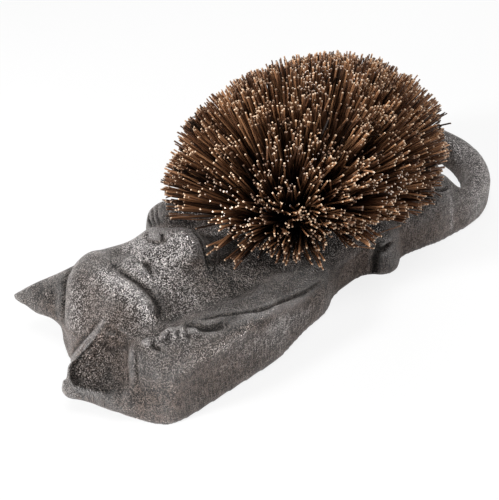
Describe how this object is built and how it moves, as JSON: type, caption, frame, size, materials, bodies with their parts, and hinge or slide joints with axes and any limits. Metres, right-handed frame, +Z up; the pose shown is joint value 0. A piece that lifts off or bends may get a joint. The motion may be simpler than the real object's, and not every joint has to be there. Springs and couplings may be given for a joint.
{
  "type": "boot scraper",
  "caption": "Boot scraper: a hollow cast iron cat lying on its back, with a domed stiff-bristle brush for a belly, resting flat on its rim.",
  "frame": {"origin": "on the floor, under the middle of the object's box", "axes": "+Z up, +X from the cat's head towards its tail, -Y towards the stretched arm"},
  "size_m": [0.3366, 0.1384, 0.1137],
  "materials": {
    "cast_iron": "sand-cast grain under a dark brown oiled finish",
    "stained_wood": "black stain, satin",
    "bristle": "stiff brown plant fibre with pale cut tips",
    "steel": "bright zinc"
  },
  "bodies": {
    "root": {"cat_casting": "cast_iron", "brush_block": "stained_wood", "head_screw": "steel", "tail_screw": "steel", "head_washer": "steel", "tail_washer": "steel", "bristle_row_01": "bristle", "bristle_row_02": "bristle", "bristle_row_03": "bristle", "bristle_row_04": "bristle", "bristle_row_05": "bristle", "bristle_row_06": "bristle", "bristle_row_07": "bristle", "bristle_row_08": "bristle", "bristle_row_09": "bristle", "bristle_row_10": "bristle", "bristle_row_11": "bristle", "bristle_row_12": "bristle"}
  },
  "joints": []
}
